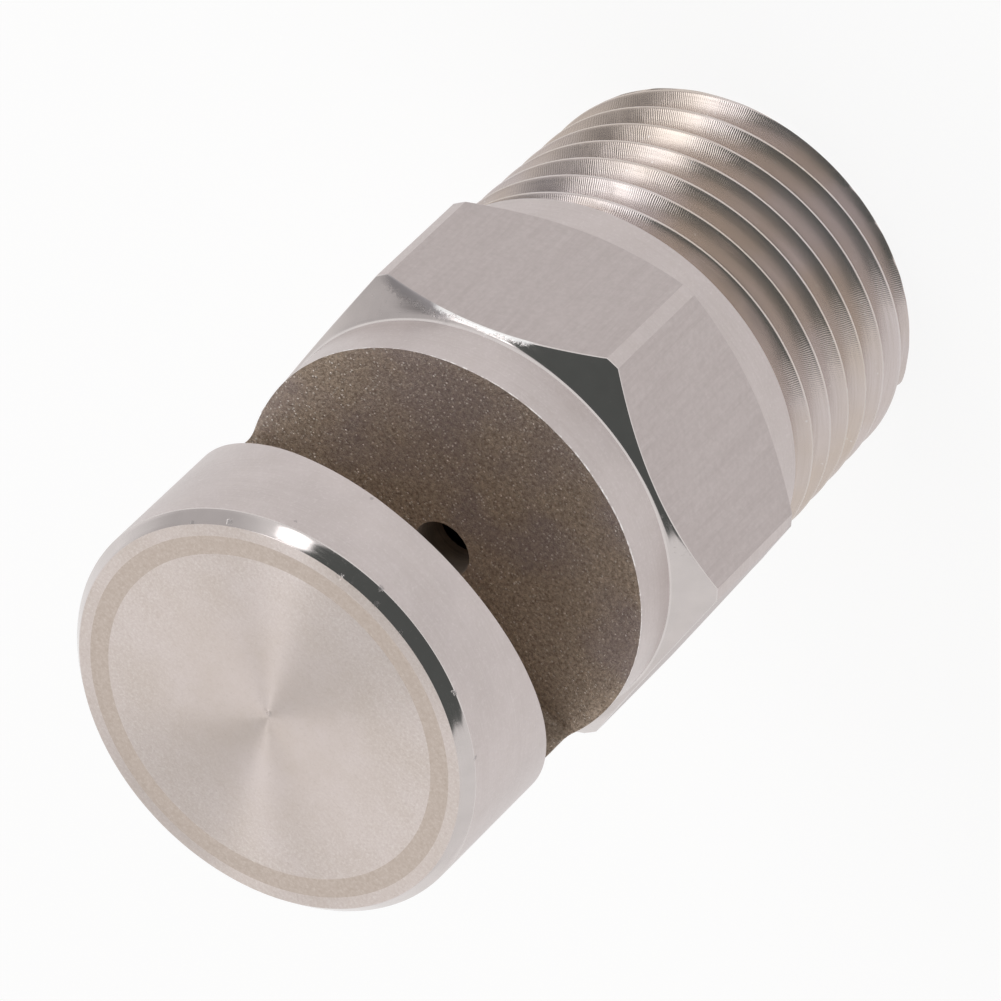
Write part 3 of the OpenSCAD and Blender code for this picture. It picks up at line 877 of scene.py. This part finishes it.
def rubber():
    mat = Material("nitrile_rubber")
    grain = mat.noise(scale=6.0, detail=4, rough=0.7)
    dust = mat.noise(scale=1.4, rough=0.6).rise(start=0.5, end=0.75)
    black = (0.018, 0.018, 0.020)
    dusty = tuple(part * 2.6 + 0.01 for part in black)
    return mat.finish(mat.tint(black, dust, amount=0.25, over=dusty), metal=0.0,
                      rough=grain.spread(low=0.42, high=0.62), specular=0.4, sheen=0.08,
                      normal=mat.bump(grain, depth=0.012, strength=0.6))


def polymer():
    mat = Material("fluoropolymer")
    radius, angle, z = mat.polar()
    lay = mat.noise(mat.join(angle * 0.5, z * 9.0, radius * 9.0), rough=0.6)
    blot = mat.noise(scale=0.9).spread()
    color = mat.mix(blot, base=(0.86, 0.85, 0.81), over=(0.79, 0.78, 0.73))
    return mat.finish(color, metal=0.0, rough=lay.spread(low=0.34, high=0.50), specular=0.45,
                      normal=mat.bump(lay, depth=0.01, strength=0.5))


def wire_metal(name, base, over):
    mat = Material(name)
    streak = mat.noise(mat.stretch((1.0, 1.0, 6.0)), scale=2.2, detail=4, rough=0.7)
    grain = mat.noise(scale=9.0, rough=0.7)
    return mat.finish(mat.mix(streak.spread(), base, over),
                      rough=grain.spread(low=0.22, high=0.36),
                      normal=mat.bump(grain, depth=0.008, strength=0.6))


def phosphated_steel():
    mat = Material("phosphated_spring_steel")
    grain = mat.noise(scale=7.0, detail=4, rough=0.75)
    wear = mat.noise(scale=1.1, detail=4, rough=0.65).rise(start=0.60, end=0.72)
    color = mat.mix(grain.spread(), base=(0.050, 0.047, 0.044), over=(0.105, 0.098, 0.090))
    color = mat.tint(color, wear, amount=0.7, over=(0.34, 0.32, 0.30))
    return mat.finish(color, metal=0.75, rough=grain.spread(low=0.42, high=0.60),
                      normal=mat.bump(grain, depth=0.012, strength=0.7))


# one material for each material slot of the CAD pieces
MATERIALS = {
    "shim_steel": lathe_metal("shim_rolled", base=(0.66, 0.63, 0.58), over=(0.58, 0.54, 0.48),
                              rough=(0.22, 0.32), brushed=0.2, stain=0.35,
                              stain_color=(0.46, 0.40, 0.30)),
    "plate_steel": lathe_metal("plate_turned", base=(0.60, 0.57, 0.55), over=(0.53, 0.50, 0.47)),
    "nitrile": rubber(),
    "bronze": lathe_metal("bearing_bronze", base=(0.66, 0.42, 0.20), over=(0.56, 0.34, 0.15),
                          rough=(0.24, 0.38), stain=0.5, stain_color=(0.30, 0.16, 0.07)),
    "spring_wire": wire_metal("drawn_wire", base=(0.54, 0.54, 0.55), over=(0.42, 0.42, 0.43)),
    "washer_steel": lathe_metal("washer_stamped", base=(0.66, 0.645, 0.62),
                                over=(0.59, 0.575, 0.55), rough=(0.26, 0.40), brushed=0.2),
    "poppet_steel": lathe_metal("poppet_turned", base=(0.62, 0.59, 0.56),
                                over=(0.55, 0.52, 0.49)),
    "seat_polymer": polymer(),
    "screw_steel": lathe_metal("screw_cold_formed", base=(0.60, 0.585, 0.57),
                               over=(0.52, 0.51, 0.50), rough=(0.24, 0.36), brushed=0.2),
    "seat_steel": lathe_metal("seat_turned", base=(0.64, 0.61, 0.57), over=(0.57, 0.53, 0.49)),
    "strainer_steel": lathe_metal("strainer_rolled", base=(0.66, 0.645, 0.625),
                                  over=(0.58, 0.565, 0.545), rough=(0.24, 0.36), brushed=0.2),
    "snap_steel": phosphated_steel(),
    "body_steel": BODY_MATERIALS[TURNED],
}
slot_of = {piece["node"]: piece["material_slot"] for piece in frame["record"]["subparts"]}
for name, piece in frame["nodes"].items():
    material = MATERIALS[slot_of[name]]
    if piece.material_slots:
        for slot in piece.material_slots:
            slot.material = material
    else:
        piece.data.materials.append(material)


# ------------------------------------------------------------ inner parts: wire
def tube(points, radius, sides):
    """Round wire along points: verts and faces, with closed ends."""
    points = np.array(points, float)
    tangent = np.gradient(points, axis=0)
    tangent /= np.linalg.norm(tangent, axis=1)[:, None]
    across = np.cross(np.array([0.0, 0.0, 1.0]), tangent)
    across /= np.linalg.norm(across, axis=1)[:, None]
    normal = np.cross(tangent, across)
    turn = 2 * math.pi * np.arange(sides) / sides
    ring = (np.cos(turn)[None, :, None] * across[:, None, :]
            + np.sin(turn)[None, :, None] * normal[:, None, :])
    verts = (points[:, None, :] + radius * ring).reshape(-1, 3)
    n = len(points)
    faces = [(i * sides + k, i * sides + (k + 1) % sides,
              (i + 1) * sides + (k + 1) % sides, (i + 1) * sides + k)
             for i in range(n - 1) for k in range(sides)]
    faces.append(tuple(range(sides - 1, -1, -1)))
    faces.append(tuple((n - 1) * sides + k for k in range(sides)))
    return verts, faces


def build_spring():
    """The coil in two lengths that meet: the end coil at the plate, and the working coils below
    it."""
    turns, wire, coil_r = 4.5, 0.7, 3.07
    low, high = 16.4 + 0.36, 21.6 - 0.36  # middle of the wire at the two ends
    closed = 0.8  # turns at each end that touch their neighbour
    closed_rise = wire * 1.02
    open_rise = (high - low - 2 * closed * closed_rise) / (turns - 2 * closed)

    def height(t):
        if t < closed:
            return low + t * closed_rise
        if t > turns - closed:
            return high - (turns - t) * closed_rise
        return low + closed * closed_rise + (t - closed) * open_rise

    def length_of_coil(name, first, last):
        steps = int((last - first) * 56)
        ts = [first + (last - first) * i / steps for i in range(steps + 1)]
        points = [(coil_r * math.cos(2 * math.pi * t), coil_r * math.sin(2 * math.pi * t),
                   height(t)) for t in ts]
        verts, faces = tube(points, wire / 2, 16)
        verts[:, 2] = np.clip(verts[:, 2], low - 0.345, high + 0.345)  # ground ends
        coil = make_object(name, verts * MM, faces, materials=[MATERIALS["spring_wire"]])
        face_outwards(coil)
        coil.data.set_sharp_from_angle(angle=math.radians(50))
        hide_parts("relief_spring")
        return coil

    cut = turns - closed - 0.5
    working = length_of_coil("relief_spring_working", 0.0, cut)
    end = length_of_coil("relief_spring_end", cut, turns)
    z_cut, z_closed = height(cut), height(turns - closed)
    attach(working, "seat_seals")
    length = z_cut - 16.41
    lift = 1.2
    z_cut * MM
    (length - lift) / length
    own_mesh(working)
    (z_closed + 0.30) * MM
    (z_cut + 0.34) * MM
    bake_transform(end)


build_spring()


def build_screen():
    """Woven wire cloth held by the strainer's rolled ring."""
    pitch, wire_r, z_middle, edge = 0.55, 0.062, 1.825, 6.42
    count = int(edge / pitch)
    verts, faces = [], []
    for direction in range(2):
        for k in range(-count, count + 1):
            offset = k * pitch
            half = math.sqrt(max(edge * edge - offset * offset, 0.01))
            steps = max(4, int(2 * half / (pitch / 4)))
            along = np.linspace(-half, half, steps + 1)
            across = np.full_like(along, offset)
            sign = 1 if (k + direction) % 2 else -1
            z = z_middle + sign * wire_r * 1.02 * np.cos(math.pi * along / pitch)
            x, y = (along, across) if direction == 0 else (across, along)
            wire_verts, wire_faces = tube(np.stack([x, y, z], 1), wire_r, 6)
            base = len(verts)
            verts += list(wire_verts)
            faces += [tuple(base + i for i in face) for face in wire_faces]
    metal = wire_metal("screen_wire", base=(0.62, 0.61, 0.60), over=(0.50, 0.49, 0.48))
    cloth = make_object("strainer_cloth", np.array(verts) * MM, faces, materials=[metal])
    face_outwards(cloth)
    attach(cloth, "housing")
    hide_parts("strainer_screen")


build_screen()

# ------------------------------------------------------------ camera
# The valve's own axes in camera axes (x right, y down, z ahead). foot points down the valve.
FOOT_X, FOOT_Y = 0.5109058, -0.4963450
VALVE_TURN = math.radians(87.0)  # about the valve's axis
foot = Vector((FOOT_X, FOOT_Y, math.sqrt(1 - FOOT_X * FOOT_X - FOOT_Y * FOOT_Y)))
side = foot.cross(Vector((0, 0, 1))).normalized()
valve_y = -(math.cos(VALVE_TURN) * side + math.sin(VALVE_TURN) * foot.cross(side))
valve_z = -foot
valve_x = valve_y.cross(valve_z)
CAMERA_TO_VALVE = Matrix((valve_x, valve_y, valve_z))


def from_camera(x, y, z):
    return CAMERA_TO_VALVE @ Vector((x, y, z))


def build_camera():
    camera = bpy.data.cameras.new("camera")
    camera.type = "PERSP"
    camera.sensor_width = 36.0
    camera.lens = 415.384615
    camera.clip_start, camera.clip_end = 0.01, 20.0
    holder = bpy.data.objects.new("camera", camera)
    scene.collection.objects.link(holder)
    scene.camera = holder
    # right, up and behind of the point on the axis at z 41.4 mm
    place = Vector((0, 0, 0.0414)) + from_camera(10.3560834 * MM, -9.6729876 * MM, -530.0 * MM)
    axes = Matrix((from_camera(1, 0, 0), from_camera(0, -1, 0), from_camera(0, 0, -1)))
    holder.matrix_world = Matrix.Translation(place) @ axes.transposed().to_4x4()


build_camera()

# ------------------------------------------------------------ light tent
SKY = (0.88, 0.875, 0.875)
LAMP = (2.3, 2.3, 2.32)
# round patches, later ones over earlier ones: degrees off the direction towards the camera,
# bearing, radius in degrees where the patch is full, radius where it ends, colour
PATCHES = [
    (98, 12, 8, 42, (0.64, 0.625, 0.615)),          # darker side wall
    (80, 158, 12, 34, (0.60, 0.59, 0.59)),          # far wall at the left
    (88, -136, 20, 60, (0.93, 0.90, 0.875)),        # warm table side
    (44, 131, 7.0, 8.5, LAMP),                      # soft lamp, first of three panels
    (46, 164, 10.5, 12.5, LAMP),
    (69, 178, 6.5, 12.5, (0.15, 0.145, 0.15)),      # gap beside the lamp
    (46.5, 183, 7.0, 9.5, LAMP),
    (9.5, -51, 44.5, 47.0, (0.105, 0.115, 0.112)),  # opening for the lens
]


def aim(off, bearing):
    """Direction off degrees from that towards the camera; bearing 0 is right, 90 up, as seen."""
    off, bearing = math.radians(off), math.radians(bearing)
    return from_camera(math.sin(off) * math.cos(bearing), -math.sin(off) * math.sin(bearing),
                       -math.cos(off)).normalized()


def build_tent():
    """Patches light the valve; the camera itself sees plain white."""
    world = bpy.data.worlds.new("light_tent")
    scene.world = world
    tent = Nodes(world)
    direction = tent.value("ShaderNodeTexCoord", {}, output="Generated")
    sky = SKY
    for off, bearing, full, end, color in PATCHES:
        closeness = tent.value("ShaderNodeVectorMath", {0: direction, 1: aim(off, bearing)},
                               output="Value", operation="DOT_PRODUCT")
        patch = closeness.rise(start=math.cos(math.radians(end)),
                               end=math.cos(math.radians(full)), smooth=True)
        sky = tent.mix(patch, sky, over=color)
    light = tent.value("ShaderNodeBackground", {"Color": sky, "Strength": 1.0})
    white = tent.value("ShaderNodeBackground", {"Color": (1.0, 1.0, 1.0), "Strength": 1.0})
    seen = tent.value("ShaderNodeLightPath", {}, output="Is Camera Ray")
    both = tent.value("ShaderNodeMixShader", {0: seen, 1: light, 2: white})
    tent.add("ShaderNodeOutputWorld", {0: both})


build_tent()


# ------------------------------------------------------------ floor
def floor_white():
    """Mostly glowing white from above, clear from below."""
    material = bpy.data.materials.new("floor_white")
    nodes = Nodes(material)
    diffuse = nodes.value("ShaderNodeBsdfDiffuse", {"Color": (0.86, 0.86, 0.86)})
    glow = nodes.value("ShaderNodeEmission", {"Color": (1, 1, 1), "Strength": 1.08})
    glow_share = 0.80
    top = nodes.value("ShaderNodeMixShader", {0: glow_share, 1: diffuse, 2: glow})
    below = nodes.value("ShaderNodeNewGeometry", {}, output="Backfacing")
    clear = nodes.value("ShaderNodeBsdfTransparent", {})
    both = nodes.value("ShaderNodeMixShader", {0: below, 1: top, 2: clear})
    nodes.add("ShaderNodeOutputMaterial", {0: both})
    return material


def build_floor():
    bm = bmesh.new()
    bmesh.ops.create_circle(bm, cap_ends=True, segments=96, radius=0.9)
    mesh = bpy.data.meshes.new("floor")
    bm.to_mesh(mesh)
    bm.free()
    floor = bpy.data.objects.new("floor", mesh)
    floor.location = (0, 0, cad_lo.z - 0.00002)  # just clear of the lowest piece
    scene.collection.objects.link(floor)
    mesh.materials.append(floor_white())


build_floor()

scene.view_settings.view_transform = "Standard"
scene.view_settings.look = "None"
scene.view_settings.exposure = 0.0
scene.view_settings.gamma = 1.0

bpy.context.view_layer.update()
